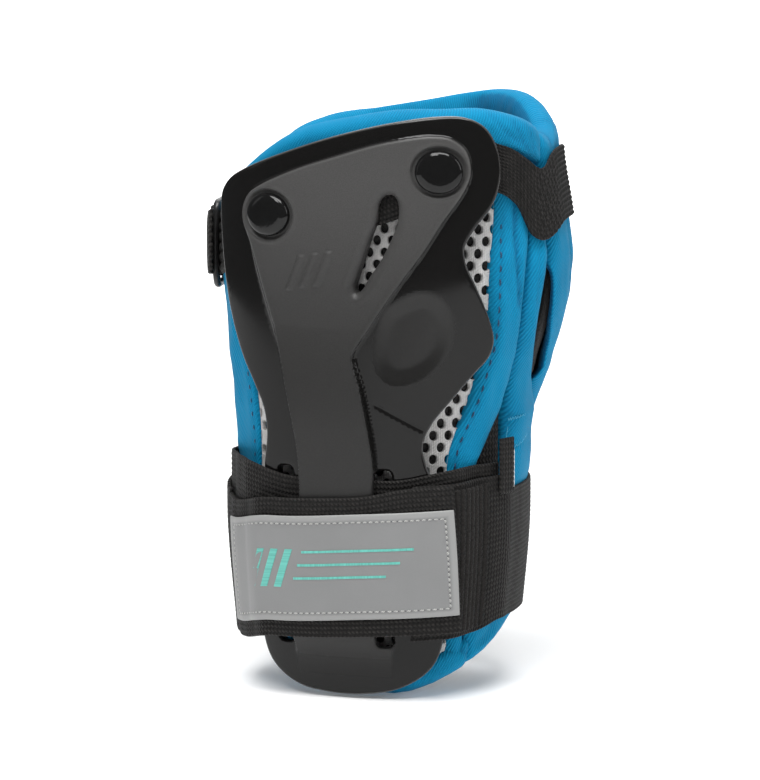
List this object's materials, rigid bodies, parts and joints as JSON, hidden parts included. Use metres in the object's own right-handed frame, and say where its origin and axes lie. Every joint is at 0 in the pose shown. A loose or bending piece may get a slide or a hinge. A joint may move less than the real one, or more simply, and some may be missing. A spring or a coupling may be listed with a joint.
{
  "type": "wrist guard",
  "caption": "Right-hand wrist guard: padded sleeve with a moulded palm shell, a back-of-hand strap through a ring, and a wide wrist strap with a hook-and-loop flap.",
  "frame": {"origin": "middle of the underside of the bounding box, at the tip of the shell's forearm end", "axes": "+Z from the forearm to the fingers, -Y out of the palm side with the shell, +X to the thumb side"},
  "size_m": [0.1276, 0.0926, 0.199],
  "materials": {
    "blue_twill": "soft padded twill cloth with fine diagonal ribs",
    "black_lining": "brushed tricot lining",
    "spacer_mesh": "knitted spacer mesh with oval holes",
    "foam": "closed-cell foam",
    "shell_plastic": "moulded polypropylene, polished rim and fine-grained panel",
    "rivet_plastic": "polished black snap rivet",
    "ring_plastic": "moulded acetal",
    "splint_plastic": "flat plastic stiffener",
    "webbing": "woven black polyester webbing",
    "hook_tape": "hook tape",
    "loop_tape": "ribbed loop tape",
    "patch_film": "matt grey film patch with a stitched border",
    "label_white": "blank woven label"
  },
  "bodies": {
    "guard": {"liner_palm": "black_lining", "liner_back": "black_lining", "back_panel": "blue_twill", "palm_foam_pad": "foam", "side_panel_left": "blue_twill", "side_panel_right": "blue_twill", "mesh_panel": "spacer_mesh", "palm_binding_left": "blue_twill", "palm_binding_right": "blue_twill", "hand_end_binding": "blue_twill", "forearm_end_binding": "blue_twill", "back_splint": "splint_plastic", "splint_pocket": "blue_twill", "palm_shell": "shell_plastic", "rivet_cap_left": "rivet_plastic", "rivet_cap_right": "rivet_plastic", "rivet_base_left": "rivet_plastic", "rivet_base_right": "rivet_plastic", "hand_strap": "webbing", "ring_tab": "webbing", "hand_loop_tape": "loop_tape", "wrist_base_strap": "webbing", "wrist_strap": "webbing", "wrist_loop_tape": "loop_tape", "anchor_tab": "webbing", "blank_side_label": "label_white"},
    "closing_flap": {"wrist_flap": "webbing", "wrist_hook_tape": "hook_tape", "label_patch": "patch_film"},
    "back_flap": {"hand_flap": "webbing", "hand_hook_tape": "hook_tape"},
    "ring": {"strap_ring": "ring_plastic"}
  },
  "joints": [
    {"name": "closing_flap_hinge", "type": "hinge", "parent": "guard", "child": "closing_flap", "pos_m": [-0.04578, -0.01865, 0.044], "axis": [0.0488, 0.0244, -0.9985], "range_deg": [0, 110]},
    {"name": "back_flap_hinge", "type": "hinge", "parent": "guard", "child": "back_flap", "pos_m": [-0.06297, 0.01342, 0.14728], "axis": [-0.0201, 0.0123, 0.9997], "range_deg": [0, 100]},
    {"name": "ring_swivel", "type": "hinge", "parent": "guard", "child": "ring", "pos_m": [-0.05781, -0.00725, 0.148], "axis": [-0.0194, 0.0025, 0.9998], "range_deg": [0, 5]}
  ]
}
